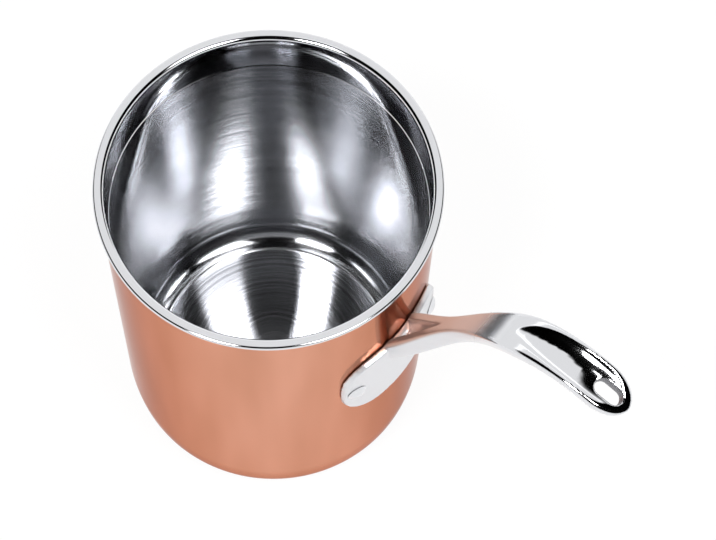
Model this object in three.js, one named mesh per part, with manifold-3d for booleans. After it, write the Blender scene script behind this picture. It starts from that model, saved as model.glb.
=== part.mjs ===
// A deep frying pan: a clad pot of three plies with a steel rim, and a cast steel handle on two rivets.
// Millimetres, +Z up. The origin is the middle of the pan's underside and the handle points along +X.
import * as THREE from "three";
import { mergeVertices } from "three/addons/utils/BufferGeometryUtils.js";
import Module from "manifold-3d";

const wasm = await Module();
wasm.setup();

// Pot: the driving dimensions
const LIP_RADIUS = 80; // outer edge of the turned-out rim
const HEIGHT = 194; // underside to the top of the rim
const WALL_ANGLE = 87.6; // degrees from level: the wall opens a little upwards
const BELLY_RADIUS = 89; // inside, the long curve below the straight wall
const CORNER_RADIUS = 10; // inside, between the belly and the flat bottom
const CORNER_TURN = 80; // degrees turned by the corner before the belly takes over
const STEEL = 0.8; // lining ply
const CORE = 1.6; // aluminium ply
const COPPER = 0.8; // outer ply
const BOND = 0.05; // gap between bonded plies

// Rim
const LIP_OVERHANG = 2.3; // the rim's edge beyond the copper
const LIP_DEPTH = 2.4; // thickness of the rim, top to underside
const LIP_ROUND = 1; // radius on both edges of the rim
const MOUTH_ROUND = 2.2; // radius from the rim's top into the bore
const BAND_DEPTH = 24; // polished band inside the mouth, below the rim's top
const BAND_STEP = 0.25; // the band is this much wider than the brushed wall
const RING_INSET = 0.6; // edge of the flat inner bottom to the ring turned into it
const RING_WIDTH = 1.6;
const RING_DEPTH = 0.3;

// Handle flange
const FLANGE_WIDTH = 66; // across, measured straight
const FLANGE_HEIGHT = 52;
const FLANGE_CORNER = 20; // radius of the flange's corners
const FLANGE_FLAT = 1; // least straight between two corners
const FLANGE_THICKNESS = 3.2;
const FLANGE_DROP = 82; // rim's top down to the middle of the flange
const SEAT_GAP = 0.3; // flange to copper

// Handle shank: a curve in the XZ plane with a section that changes along it
const SHANK_REACH = 126; // copper to the tip, level
const SHANK_START_DROP = 65; // rim's top down to the shank's middle line at the copper
const SHANK_TIP_LIFT = 34; // rim's top up to the shank's middle line at the tip
const SHANK_RISE = 56; // degrees upwards as it leaves the flange
const SHANK_FALL = 25; // degrees downwards at the tip
const SHANK_BEND = 74; // how far each end keeps its direction: the pull of the curve
const SHANK_BURIED = 10; // length that runs into the wall before it is trimmed to it
const ROOT_WIDTH = 23.5;
const WAIST_WIDTH = 10.4;
const WAIST_AT = 66; // from the copper, along the shank
const PALM_WIDTH = 21.5;
const PALM_AT = 132; // from the copper, along the shank
const ROOT_THICKNESS = 11;
const PALM_THICKNESS = 8;
const TIP_LENGTH = 16; // length over which the end rounds off
const TIP_THICKNESS = 6;
const RIDGE_SPACING = 15.5; // valley's width at the root, ridge to ridge
const VALLEY_DEPTH = 6.5; // between the two ridges at the root
const VALLEY_LENGTH = 58; // from the copper, along the shank, to where the valley has run out
const DISH_RUN_IN = 40; // hollow on top of the palm: its deepest place back to where it starts
const DISH_END = 20; // its deepest place on to its end near the tip
const DISH_WIDTH = 18;
const DISH_DEPTH = 2.8;
const DISH_BALL = 3; // half-height of the dish's ball, in depths of the dish
const DISH_TO_TIP = 2; // end of the dish to the tip
const EYE_LENGTH = 14; // hanging eye through the end of the dish
const EYE_WIDTH = 7.5;
const EYE_TO_TIP = 4.5; // end of the eye to the tip

// Rivets
const RIVET_SPACING = 53; // between the two rivets, measured straight
const RIVET_RADIUS = 2.6;
const HOLE_CLEARANCE = 0.15; // round the rivet's shank
const HEAD_RADIUS = 4.9; // domed head, outside
const HEAD_HEIGHT = 2;
const BUTTON_RADIUS = 5.6; // flatter head, inside the pot
const BUTTON_HEIGHT = 1.5;
const HEAD_GAP = 0.2; // head to the face that it sits on

// Cutters and facets
const CUT_THROUGH = 4; // length of a cutter, in thicknesses of what it goes through
const WELD = 1e-4; // points closer than this are one point
const POT_SEGMENTS = 64;
const RIVET_SEGMENTS = 20;
const ARC_STEP = 17; // degrees of arc per facet on the pot's corner
const BELLY_STEP = 8; // on its belly
const ROUND_STEP = 30; // on the rim's small radii
const DOME_STEP = 8; // on the rivets' heads
const SECTION_POINTS = 28;
const TOP_SQUARENESS = 0.4; // of a section's upper half: 1 gives an ellipse, 0 a rectangle
const UNDER_SQUARENESS = 0.72; // of its lower half
const TIP_FACET = 0.02; // share left of the width, squared, on the last facet
const CURVE_FACETS = 10; // per arc of the flange's outline and of the eye
const BALL_FACETS = [28, 18]; // round and down the dish's ball
const SHANK_STATIONS = 26;
const TIP_STATIONS = 7;

const WALL = STEEL + BOND + CORE + BOND + COPPER;
const BORE_RADIUS = LIP_RADIUS - LIP_OVERHANG - WALL; // inside of the wall, produced to the rim's top
const LIP_UNDERSIDE = HEIGHT - LIP_DEPTH;
const FLANGE_MIDDLE = HEIGHT - FLANGE_DROP;
const UP = new THREE.Vector3(0, 0, 1);
const OUT = new THREE.Vector3(1, 0, 0);
const ACROSS = new THREE.Vector3(0, 1, 0);
const radians = THREE.MathUtils.degToRad;

const materials = {
  lining: new THREE.MeshStandardMaterial({ color: 0xb9bbc0, roughness: 0.3, metalness: 1 }),
  core: new THREE.MeshStandardMaterial({ color: 0xc9cacc, roughness: 0.5, metalness: 1 }),
  copper: new THREE.MeshStandardMaterial({ color: 0xd8946f, roughness: 0.18, metalness: 1 }),
  cast: new THREE.MeshStandardMaterial({ color: 0xd3d4d8, roughness: 0.1, metalness: 1 }),
};

// Solids

function solidOf(geometry) {
  const plain = geometry.clone();
  plain.deleteAttribute("normal");
  plain.deleteAttribute("uv");
  const merged = mergeVertices(plain, WELD);
  const vertProperties = new Float32Array(merged.attributes.position.array);
  const triVerts = new Uint32Array(merged.index.array);
  return new wasm.Manifold(new wasm.Mesh({ numProp: 3, vertProperties, triVerts }));
}

function geometryOf(solid) {
  const { numProp, vertProperties, triVerts } = solid.getMesh();
  const positions = new Float32Array((vertProperties.length / numProp) * 3);
  for (let v = 0; v < positions.length / 3; v++) {
    for (let axis = 0; axis < 3; axis++) positions[v * 3 + axis] = vertProperties[v * numProp + axis];
  }
  const geometry = new THREE.BufferGeometry();
  geometry.setAttribute("position", new THREE.BufferAttribute(positions, 3));
  geometry.setIndex(Array.from(triVerts));
  return geometry;
}

// A profile of [radius, height] points turned about Z. It runs from axis to axis, or closes on itself.
function turned(profile, segments) {
  const points = profile.map(([radius, height]) => new THREE.Vector2(radius, height));
  return new THREE.LatheGeometry(points, segments).rotateX(Math.PI / 2);
}

// Points on an arc, with both ends. Angles are in degrees from level-outwards, turning upwards.
function arc(centre, radius, from, to, step = ARC_STEP) {
  const count = Math.max(2, Math.ceil(Math.abs(to - from) / step));
  return Array.from({ length: count + 1 }, (_, i) => {
    const angle = radians(from + ((to - from) * i) / count);
    return [centre[0] + radius * Math.cos(angle), centre[1] + radius * Math.sin(angle)];
  });
}

// The pot's meridian: flat bottom, corner arc, belly arc, straight wall. An offset of 0 is the inside face
// and WALL is the copper's face; every ply lies between two offsets of the same meridian.

const taper = 1 / Math.tan(radians(WALL_ANGLE));
const cornerEnd = CORNER_TURN - 90;
const bellyEnd = WALL_ANGLE - 90;
const bellyRadius = (offset) => BELLY_RADIUS + offset;
const along = (angle) => [Math.cos(radians(angle)), Math.sin(radians(angle))];

function meridianCentres() {
  const step = BELLY_RADIUS - CORNER_RADIUS;
  const cornerHeight = WALL + CORNER_RADIUS;
  const bellyHeight = cornerHeight - step * along(cornerEnd)[1];
  const wallStart = bellyHeight + BELLY_RADIUS * along(bellyEnd)[1];
  const bellyX = BORE_RADIUS - (HEIGHT - wallStart) * taper - BELLY_RADIUS * along(bellyEnd)[0];
  return { corner: [bellyX + step * along(cornerEnd)[0], cornerHeight], belly: [bellyX, bellyHeight] };
}

const centres = meridianCentres();

function wallRadius(offset, height) {
  const [x, z] = along(bellyEnd);
  const startRadius = centres.belly[0] + bellyRadius(offset) * x;
  const startHeight = centres.belly[1] + bellyRadius(offset) * z;
  return startRadius + (height - startHeight) * taper;
}

// From the axis outwards along the bottom and up the wall to a height.
function meridian(offset, top) {
  return [
    [0, WALL - offset],
    ...arc(centres.corner, CORNER_RADIUS + offset, -90, cornerEnd),
    ...arc(centres.belly, bellyRadius(offset), cornerEnd, bellyEnd, BELLY_STEP).slice(1),
    [wallRadius(offset, top), top],
  ];
}

function plyProfile(inner, outer, top) {
  return [...meridian(outer, top), ...meridian(inner, top).reverse()];
}

function liningProfile() {
  const bandFoot = HEIGHT - BAND_DEPTH;
  const bandRadius = wallRadius(0, bandFoot) + BAND_STEP;
  const mouthRadius = wallRadius(0, HEIGHT - MOUTH_ROUND) + BAND_STEP;
  const ringOuter = centres.corner[0] - RING_INSET;
  const lipMiddle = LIP_RADIUS - LIP_ROUND;
  const [axisPoint, ...rest] = meridian(0, bandFoot - BAND_STEP);
  return [
    ...meridian(STEEL, LIP_UNDERSIDE),
    ...arc([lipMiddle, LIP_UNDERSIDE + LIP_ROUND], LIP_ROUND, -90, 0, ROUND_STEP),
    ...arc([lipMiddle, HEIGHT - LIP_ROUND], LIP_ROUND, 0, 90, ROUND_STEP),
    ...arc([mouthRadius + MOUTH_ROUND, HEIGHT - MOUTH_ROUND], MOUTH_ROUND, 90, 180, ROUND_STEP),
    [bandRadius, bandFoot],
    ...rest.reverse(),
    [ringOuter, WALL],
    [ringOuter - RING_WIDTH / 2, WALL - RING_DEPTH],
    [ringOuter - RING_WIDTH, WALL],
    axisPoint,
  ];
}

// Rivets stand square to the wall, one each side of the handle.

const rivetAzimuth = Math.asin(RIVET_SPACING / 2 / wallRadius(WALL, FLANGE_MIDDLE));
const rivetSides = { left: -1, right: 1 };

// The frame whose +Z runs out through the wall and whose origin is on the copper's face.
function rivetFrame(side) {
  const azimuth = side * rivetAzimuth;
  const radius = wallRadius(WALL, FLANGE_MIDDLE);
  const outwards = OUT.clone().applyAxisAngle(ACROSS, radians(90 - WALL_ANGLE)).applyAxisAngle(UP, azimuth);
  const sideways = UP.clone().cross(outwards).normalize();
  const frame = new THREE.Matrix4().makeBasis(sideways, outwards.clone().cross(sideways), outwards);
  return frame.setPosition(radius * Math.cos(azimuth), radius * Math.sin(azimuth), FLANGE_MIDDLE);
}

function rivetHole(side) {
  const radius = RIVET_RADIUS + HOLE_CLEARANCE;
  const length = CUT_THROUGH * (WALL + FLANGE_THICKNESS + SEAT_GAP);
  const drill = new THREE.CylinderGeometry(radius, radius, length, RIVET_SEGMENTS);
  return solidOf(drill.rotateX(Math.PI / 2).applyMatrix4(rivetFrame(side)));
}

const rivetHoles = Object.values(rivetSides).map(rivetHole);

function drilled(solid) {
  return rivetHoles.reduce((left, hole) => left.subtract(hole), solid);
}

// How far a round head of that radius has to stand off a hollow wall so that its edge clears it.
function hollowStandOff(headRadius, faceRadius) {
  return faceRadius - Math.sqrt(faceRadius ** 2 - headRadius ** 2);
}

// Points on a low dome over a round foot, from the foot to the crown. Its height is below 0 to point down.
function dome(footRadius, foot, height) {
  const radius = (footRadius ** 2 + height ** 2) / (2 * Math.abs(height));
  const half = THREE.MathUtils.radToDeg(Math.asin(footRadius / radius));
  const way = Math.sign(height);
  const points = arc([0, foot + height - way * radius], radius, way * (90 - half), way * 90, DOME_STEP);
  return [...points.slice(0, -1), [0, foot + height]];
}

function rivetProfile() {
  const seat = SEAT_GAP + FLANGE_THICKNESS + HEAD_GAP;
  const boreRadius = wallRadius(0, FLANGE_MIDDLE);
  const inside = -WALL - hollowStandOff(BUTTON_RADIUS, boreRadius) - HEAD_GAP;
  return [
    ...dome(BUTTON_RADIUS, inside, -BUTTON_HEIGHT).reverse(),
    [RIVET_RADIUS, inside],
    [RIVET_RADIUS, seat],
    ...dome(HEAD_RADIUS, seat, HEAD_HEIGHT),
  ];
}

// Handle

// The flange follows the wall: an outline pushed through a slice of the pot's own cone.
function flangeSolid() {
  const corner = Math.min(FLANGE_CORNER, (Math.min(FLANGE_WIDTH, FLANGE_HEIGHT) - FLANGE_FLAT) / 2);
  const half = { y: FLANGE_WIDTH / 2 - corner, z: FLANGE_HEIGHT / 2 - corner };
  const outline = new THREE.Shape();
  const corners = [[1, -1, -90], [1, 1, 0], [-1, 1, 90], [-1, -1, 180]];
  for (const [sideways, upwards, from] of corners) {
    const start = radians(from);
    outline.absarc(sideways * half.y, upwards * half.z, corner, start, start + Math.PI / 2, false);
  }
  const reach = LIP_RADIUS + FLANGE_THICKNESS;
  const block = new THREE.ExtrudeGeometry(
    outline, { depth: reach, bevelEnabled: false, curveSegments: CURVE_FACETS });
  block.applyMatrix4(new THREE.Matrix4().makeBasis(ACROSS, UP, OUT).setPosition(0, 0, FLANGE_MIDDLE));
  const low = FLANGE_MIDDLE - FLANGE_HEIGHT;
  const high = FLANGE_MIDDLE + FLANGE_HEIGHT;
  const near = WALL + SEAT_GAP;
  const far = near + FLANGE_THICKNESS;
  const slice = turned([
    [wallRadius(near, low), low],
    [wallRadius(far, low), low],
    [wallRadius(far, high), high],
    [wallRadius(near, high), high],
    [wallRadius(near, low), low],
  ], POT_SEGMENTS);
  return solidOf(block).intersect(solidOf(slice));
}

// The shank's middle line, from inside the wall to the tip.
function shankSpine() {
  const startHeight = HEIGHT - SHANK_START_DROP;
  const start = new THREE.Vector3(wallRadius(WALL, startHeight), 0, startHeight);
  const tip = new THREE.Vector3(start.x + SHANK_REACH, 0, HEIGHT + SHANK_TIP_LIFT);
  const rise = new THREE.Vector3(Math.cos(radians(SHANK_RISE)), 0, Math.sin(radians(SHANK_RISE)));
  const fall = new THREE.Vector3(Math.cos(radians(SHANK_FALL)), 0, -Math.sin(radians(SHANK_FALL)));
  const leaving = start.clone().addScaledVector(rise, SHANK_BEND);
  const arriving = tip.clone().addScaledVector(fall, -SHANK_BEND);
  const sweep = new THREE.CubicBezierCurve3(start, leaving, arriving, tip);
  const spine = new THREE.CurvePath();
  spine.add(new THREE.LineCurve3(start.clone().addScaledVector(rise, -SHANK_BURIED), start));
  spine.add(sweep);
  return spine;
}

const spine = shankSpine();
const spineLength = spine.getLength();

// Smooth step from one value to another as a distance runs from start to end.
function ease(from, to, distance, start, end) {
  return from + (to - from) * THREE.MathUtils.smoothstep(distance, start, end);
}

// Width, thickness and valley at a distance along the spine.
function shankSize(distance) {
  const fromCopper = distance - SHANK_BURIED;
  const roundingFrom = spineLength - TIP_LENGTH;
  const waist = ease(ROOT_WIDTH, WAIST_WIDTH, fromCopper, 0, WAIST_AT);
  const width = waist + ease(0, PALM_WIDTH - WAIST_WIDTH, fromCopper, WAIST_AT, PALM_AT);
  const thickness = ease(ROOT_THICKNESS, PALM_THICKNESS, fromCopper, 0, PALM_AT);
  const valley = ease(VALLEY_DEPTH, 0, fromCopper, 0, VALLEY_LENGTH);
  const ridges = (RIDGE_SPACING * width) / ROOT_WIDTH;
  const intoTip = Math.max(0, distance - roundingFrom) / TIP_LENGTH;
  const roundOff = Math.sqrt(Math.max(TIP_FACET, 1 - intoTip ** 2));
  const thinned = ease(thickness, TIP_THICKNESS, intoTip, 0, 1);
  return { width: width * roundOff, thickness: thinned, valley, ridges };
}

// A section is flat on top and round below, with the valley pressed into its upper side.
function shankSection({ width, thickness, valley, ridges }) {
  return Array.from({ length: SECTION_POINTS }, (_, i) => {
    const angle = (2 * Math.PI * i) / SECTION_POINTS;
    const x = Math.cos(angle);
    const y = Math.sin(angle);
    const squareness = y > 0 ? TOP_SQUARENESS : UNDER_SQUARENESS;
    const across = (width / 2) * Math.sign(x) * Math.abs(x) ** squareness;
    const up = (thickness / 2) * Math.sign(y) * Math.abs(y) ** squareness;
    const dip = y > 0 ? valley * Math.max(0, 1 - (2 * Math.abs(across)) / ridges) : 0;
    return [across, up - dip];
  });
}

function stationDistances() {
  const run = spineLength - TIP_LENGTH;
  const body = Array.from({ length: SHANK_STATIONS }, (_, i) => (run * i) / (SHANK_STATIONS - 1));
  const tip = Array.from({ length: TIP_STATIONS }, (_, i) =>
    run + TIP_LENGTH * Math.sin(((i + 1) / TIP_STATIONS) * (Math.PI / 2)));
  return [...body, ...tip];
}

// A frame on the spine: X across, Y square to the top face, Z along. Past the tip it runs straight on.
function spineFrame(distance) {
  const u = THREE.MathUtils.clamp(distance / spineLength, 0, 1);
  const forward = spine.getTangentAt(u);
  const place = spine.getPointAt(u).addScaledVector(forward, distance - u * spineLength);
  const across = ACROSS.clone();
  const frame = new THREE.Matrix4().makeBasis(across, forward.clone().cross(across), forward);
  return frame.setPosition(place);
}

// Bends a shape that lies along Z, so that it follows the spine to both sides of a distance on it.
function bentAlongSpine(geometry, distance) {
  const position = geometry.attributes.position;
  const point = new THREE.Vector3();
  for (let v = 0; v < position.count; v++) {
    point.fromBufferAttribute(position, v);
    const frame = spineFrame(distance + point.z);
    position.setXYZ(v, ...point.setZ(0).applyMatrix4(frame).toArray());
  }
  return geometry;
}

function shankSolid() {
  const positions = [];
  const index = [];
  const distances = stationDistances();
  for (const distance of distances) {
    const frame = spineFrame(distance);
    for (const [across, up] of shankSection(shankSize(distance))) {
      positions.push(...new THREE.Vector3(across, up, 0).applyMatrix4(frame).toArray());
    }
  }
  const last = distances.length - 1;
  for (let station = 0; station < last; station++) {
    for (let i = 0; i < SECTION_POINTS; i++) {
      const a = station * SECTION_POINTS + i;
      const b = station * SECTION_POINTS + ((i + 1) % SECTION_POINTS);
      index.push(a, b, b + SECTION_POINTS, a, b + SECTION_POINTS, a + SECTION_POINTS);
    }
  }
  for (const [station, flip] of [[0, true], [last, false]]) {
    const centre = positions.length / 3;
    positions.push(...new THREE.Vector3().applyMatrix4(spineFrame(distances[station])).toArray());
    for (let i = 0; i < SECTION_POINTS; i++) {
      const a = station * SECTION_POINTS + i;
      const b = station * SECTION_POINTS + ((i + 1) % SECTION_POINTS);
      index.push(centre, ...(flip ? [b, a] : [a, b]));
    }
  }
  const loft = new THREE.BufferGeometry();
  loft.setAttribute("position", new THREE.Float32BufferAttribute(positions, 3));
  loft.setIndex(index);
  return solidOf(loft);
}

// The pot as a plug, a seat's gap larger: what the shank is trimmed to.
function potPlug() {
  const low = FLANGE_MIDDLE - FLANGE_HEIGHT;
  const face = WALL + SEAT_GAP;
  const profile = [[0, low], [wallRadius(face, low), low], [wallRadius(face, HEIGHT), HEIGHT], [0, HEIGHT]];
  return solidOf(turned(profile, POT_SEGMENTS));
}

// The dish is a ball drawn out towards the pot, sunk into the palm and bent with it.
function dishCutter() {
  const distance = spineLength - DISH_TO_TIP - DISH_END;
  const bury = DISH_BALL * DISH_DEPTH;
  const lift = PALM_THICKNESS / 2 - DISH_DEPTH + bury;
  const spread = 1 / Math.sqrt(1 - ((bury - DISH_DEPTH) / bury) ** 2);
  const ball = new THREE.SphereGeometry(1, ...BALL_FACETS);
  const position = ball.attributes.position;
  for (let v = 0; v < position.count; v++) {
    const ahead = position.getZ(v);
    position.setZ(v, ahead * (ahead < 0 ? DISH_RUN_IN : DISH_END));
  }
  ball.scale((DISH_WIDTH / 2) * spread, bury, spread).translate(0, lift, 0);
  return solidOf(bentAlongSpine(ball, distance));
}

// The eye is a slot with round ends, square through the palm.
function eyeCutter() {
  const radius = EYE_WIDTH / 2;
  const half = EYE_LENGTH / 2 - radius;
  const slot = new THREE.Shape();
  slot.absarc(0, half, radius, 0, Math.PI, false);
  slot.absarc(0, -half, radius, Math.PI, 2 * Math.PI, false);
  const depth = CUT_THROUGH * PALM_THICKNESS;
  const punch = new THREE.ExtrudeGeometry(
    slot, { depth, bevelEnabled: false, curveSegments: CURVE_FACETS });
  punch.translate(0, 0, -depth / 2).rotateX(Math.PI / 2);
  const distance = spineLength - EYE_TO_TIP - EYE_LENGTH / 2;
  return solidOf(punch.applyMatrix4(spineFrame(distance)));
}

function handleSolid() {
  const shank = shankSolid().subtract(potPlug());
  const casting = flangeSolid().add(shank).subtract(dishCutter()).subtract(eyeCutter());
  return drilled(casting);
}

// Assembly

function piece(name, geometry, material) {
  const mesh = new THREE.Mesh(geometry, material);
  mesh.name = name;
  return mesh;
}

function rivet(name, side) {
  const mesh = piece(name, turned(rivetProfile(), RIVET_SEGMENTS), materials.cast);
  rivetFrame(side).decompose(mesh.position, mesh.quaternion, mesh.scale);
  return mesh;
}

function ply(name, profile, material) {
  return piece(name, geometryOf(drilled(solidOf(turned(profile, POT_SEGMENTS)))), material);
}

const coreInner = STEEL + BOND;
const copperInner = coreInner + CORE + BOND;
const plyTop = LIP_UNDERSIDE - BOND;

const pan = new THREE.Group();
pan.add(ply("steel_lining", liningProfile(), materials.lining));
pan.add(ply("aluminium_core", plyProfile(coreInner, coreInner + CORE, plyTop), materials.core));
pan.add(ply("copper_shell", plyProfile(copperInner, WALL, plyTop), materials.copper));
pan.add(piece("handle", geometryOf(handleSolid()), materials.cast));
for (const [word, side] of Object.entries(rivetSides)) pan.add(rivet(`rivet_${word}`, side));

export default pan;
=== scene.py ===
"""A deep copper pan with a steel lining and a riveted cast handle, over its frame in a pale studio."""
import math
from collections import namedtuple

import bmesh
import bpy
from mathutils import Matrix, Vector
from mathutils.geometry import interpolate_bezier


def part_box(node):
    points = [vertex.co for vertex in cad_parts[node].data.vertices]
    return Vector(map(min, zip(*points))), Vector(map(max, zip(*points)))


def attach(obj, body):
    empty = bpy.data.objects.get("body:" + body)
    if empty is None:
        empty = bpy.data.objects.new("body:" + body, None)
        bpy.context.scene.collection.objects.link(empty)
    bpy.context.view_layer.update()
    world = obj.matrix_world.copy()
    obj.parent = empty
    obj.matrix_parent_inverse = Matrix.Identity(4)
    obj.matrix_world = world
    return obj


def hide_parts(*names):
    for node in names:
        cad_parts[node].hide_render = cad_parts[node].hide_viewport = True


bl_info = {
    "name": "Deep copper pan",
    "version": (1, 0, 0),
    "blender": (4, 5, 0),
    "location": "View3D > Sidebar > Pan",
    "description": "Models a clad copper pan with a cast handle, its finishes and a pale studio",
    "category": "Add Mesh",
}

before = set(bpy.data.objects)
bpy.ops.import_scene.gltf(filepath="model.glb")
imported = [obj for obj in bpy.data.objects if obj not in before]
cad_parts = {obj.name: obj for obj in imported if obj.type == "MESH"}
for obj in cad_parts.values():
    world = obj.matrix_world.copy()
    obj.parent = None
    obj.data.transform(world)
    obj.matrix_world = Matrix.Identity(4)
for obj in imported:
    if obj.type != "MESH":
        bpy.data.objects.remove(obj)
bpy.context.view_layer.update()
MM = 0.001
LINING_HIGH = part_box("steel_lining")[1]
BODY = "root"

# Fineness of the meshes
TURNS = 192
RIVET_TURNS = 48
BALL_TURNS = 64
ARC_STEPS = 14
ROUND_STEPS = 6
SPINE_SAMPLES = 400
STATION_STEP = 1.5 * MM
TIP_STATIONS = 12
VOXEL = 0.45 * MM
WELD = 1e-6
CREASE_ANGLE = math.radians(24)
# Rounds of smoothing on the cast handle, and how far each one goes
EDGE_SOFTENING = 12
SOFTENING_STEP = 0.5

# Shares of other sizes
# The tip closes with a small face, whose width is the square root of this share of the palm's
TIP_FACET = 0.02
# A cutter's length, in thicknesses of what it goes through
CUT_THROUGH = 4
# Half-height of the ball that presses the dish, in depths of the dish
DISH_BALL = 3
# A face is on the eye's wall where its normal's part square to the palm is smaller than this
EYE_WALL = 0.6
RIVET_SIDES = {"left": -1, "right": 1}

# Where the neck's satin ends and the palm's polish starts, out from the pot's axis
SATIN_END = 110 * MM
POLISH_START = 150 * MM

# Studio
FLOOR_RADIUS = 4
# Keeps the paper and the pot's underside from sharing one plane.
FLOOR_GAP = 0.1 * MM
# Share of the paper's white that glows, seen straight and in polished metal; the rest takes shadow
PAPER_GLOW = 0.93
PAPER_MIRRORED = 0.6
# Top of the white cove above the horizon and half-width of every soft edge, in degrees
COVE_TOP = 24
PANEL_EDGE = 4
# A panel's middle and half-width round the pan in degrees, from the camera to its right;
# its lower and upper edge above the horizon; its glow. The first two draw the bands of light on the
# lining's far wall. The third is a pale card beyond the pan, which the palm mirrors.
Panel = namedtuple("Panel", "middle half low high glow")
PANELS = (
    Panel(middle=46, half=18, low=58, high=80, glow=17),
    Panel(middle=-36, half=12, low=58, high=68, glow=52),
    Panel(middle=180, half=40, low=20, high=76, glow=1),
)


def linear(hex_value):
    """Turns an sRGB hex colour into the linear colour that the shaders take."""
    channels = [int(hex_value[i:i + 2], 16) / 255 for i in (1, 3, 5)]
    curve = [c / 12.92 if c <= 0.04045 else ((c + 0.055) / 1.055) ** 2.4 for c in channels]
    return (*curve, 1.0)


def length(name, description, size):
    """A size in metres that a user may change."""
    return bpy.props.FloatProperty(
        name=name, description=description, default=size, unit="LENGTH", precision=5)


def turn(name, description, degrees):
    """An angle that a user may change, given in degrees."""
    return bpy.props.FloatProperty(
        name=name, description=description, default=math.radians(degrees), subtype="ANGLE")


def colour(name, description, hex_value):
    """A colour that a user may change, given as sRGB hex."""
    return bpy.props.FloatVectorProperty(
        name=name, description=description, default=linear(hex_value), size=4, subtype="COLOR")


class PotSizes(bpy.types.PropertyGroup):
    """Sizes of the three plies and the rim."""

    lip_radius: length("Rim radius", "Outer edge of the turned-out rim", LINING_HIGH.x)
    height: length("Height", "Underside to the top of the rim", LINING_HIGH.z)
    wall_angle: turn("Wall angle", "Slope of the straight wall, from level", 87.6)
    belly_radius: length("Belly radius", "Long curve below the straight wall, inside", 89 * MM)
    corner_radius: length("Corner radius", "Between the belly and the flat bottom, inside", 10 * MM)
    corner_turn: turn("Corner turn", "How far the corner turns before the belly takes over", 80)
    steel: length("Steel", "Thickness of the lining ply", 0.8 * MM)
    copper: length("Copper", "Thickness of the outer ply", 0.8 * MM)
    wall: length("Wall", "Thickness of the three plies together", 3.3 * MM)
    bond: length("Bond", "Gap between bonded plies", 0.05 * MM)
    lip_overhang: length("Rim overhang", "Rim's edge beyond the copper", 2.3 * MM)
    lip_depth: length("Rim depth", "Thickness of the rim", 2.4 * MM)
    lip_round: length("Rim round", "Radius on both edges of the rim", 1 * MM)
    mouth_round: length("Mouth round", "Radius from the rim's top into the bore", 2.2 * MM)
    band_depth: length("Band depth", "Polished band below the rim's top", 24 * MM)
    band_step: length("Band step", "How much wider the band is than the brushed wall", 0.25 * MM)
    ring_inset: length("Ring inset", "Edge of the flat inner bottom to the ring turned into it", 0.6 * MM)
    ring_width: length("Ring width", "Width of the turned ring", 1.6 * MM)
    ring_depth: length("Ring depth", "Depth of the turned ring", 0.3 * MM)


class HandleSizes(bpy.types.PropertyGroup):
    """Sizes of the cast handle and its two rivets."""

    flange_width: length("Flange width", "Across, measured straight", 66 * MM)
    flange_height: length("Flange height", "From its lower to its upper edge", 52 * MM)
    flange_corner: length("Flange corner", "Radius of the flange's ends", 20 * MM)
    flange_thickness: length("Flange thickness", "Out from the copper", 3.2 * MM)
    flange_drop: length("Flange drop", "Rim's top down to the flange's middle", 82 * MM)
    seat_gap: length("Seat gap", "Flange to copper", 0.3 * MM)
    reach: length("Reach", "Copper to the tip, level", 126 * MM)
    start_drop: length("Start drop", "Rim's top down to the shank's start", 65 * MM)
    tip_lift: length("Tip lift", "Rim's top up to the shank's tip", 34 * MM)
    rise: turn("Rise", "Direction as the shank leaves the flange", 56)
    fall: turn("Fall", "Downward direction at the tip", 25)
    bend: length("Bend", "How far each end keeps its direction", 74 * MM)
    buried: length("Buried", "Start of the shank inside the flange, before trimming", 10 * MM)
    root_width: length("Root width", "Shank's width at the flange", 23.5 * MM)
    waist_width: length("Waist width", "Shank's width where it is slimmest", 10.4 * MM)
    waist_at: length("Waist at", "From the copper to the waist", 66 * MM)
    palm_width: length("Palm width", "Shank's width in the hand", 21.5 * MM)
    palm_at: length("Palm at", "From the copper to the palm", 132 * MM)
    root_thickness: length("Root thickness", "Shank's thickness at the flange", 11 * MM)
    palm_thickness: length("Palm thickness", "Shank's thickness in the hand", 8 * MM)
    tip_length: length("Tip length", "Length over which the end rounds off", 16 * MM)
    tip_thickness: length("Tip thickness", "Thickness of the rounded end", 6 * MM)
    upper_round: length("Upper round", "Corner radius of the shank's top face", 2.2 * MM)
    lower_round: length("Lower round", "Corner radius of the shank's underside", 6 * MM)
    valley_width: length("Valley width", "Between the two ridges at the root", 15.5 * MM)
    valley_depth: length("Valley depth", "Between the two ridges at the root", 6.5 * MM)
    valley_length: length("Valley length", "From the copper to where the valley ends", 58 * MM)
    dish_run_in: length("Dish run-in", "Dish's deepest place back to where it starts", 40 * MM)
    dish_end: length("Dish end", "Dish's deepest place on to its end near the tip", 20 * MM)
    dish_width: length("Dish width", "Hollow on top of the palm", 18 * MM)
    dish_depth: length("Dish depth", "Hollow on top of the palm", 2.8 * MM)
    dish_to_tip: length("Dish to tip", "End of the dish to the tip", 2 * MM)
    eye_length: length("Eye length", "Hanging eye", 14 * MM)
    eye_width: length("Eye width", "Hanging eye", 7.5 * MM)
    eye_to_tip: length("Eye to tip", "End of the eye to the tip", 4.5 * MM)
    rivet_spacing: length("Rivet spacing", "Between the two rivets, measured straight", 53 * MM)
    rivet_radius: length("Rivet radius", "Shank of a rivet", 2.6 * MM)
    hole_clearance: length("Hole clearance", "Round a rivet's shank", 0.15 * MM)
    head_radius: length("Head radius", "Domed head outside", 4.9 * MM)
    head_height: length("Head height", "Domed head outside", 2 * MM)
    button_radius: length("Button radius", "Flatter head inside the pot", 5.6 * MM)
    button_height: length("Button height", "Flatter head inside the pot", 1.5 * MM)
    head_gap: length("Head gap", "Head to the face that it sits on", 0.2 * MM)


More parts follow.
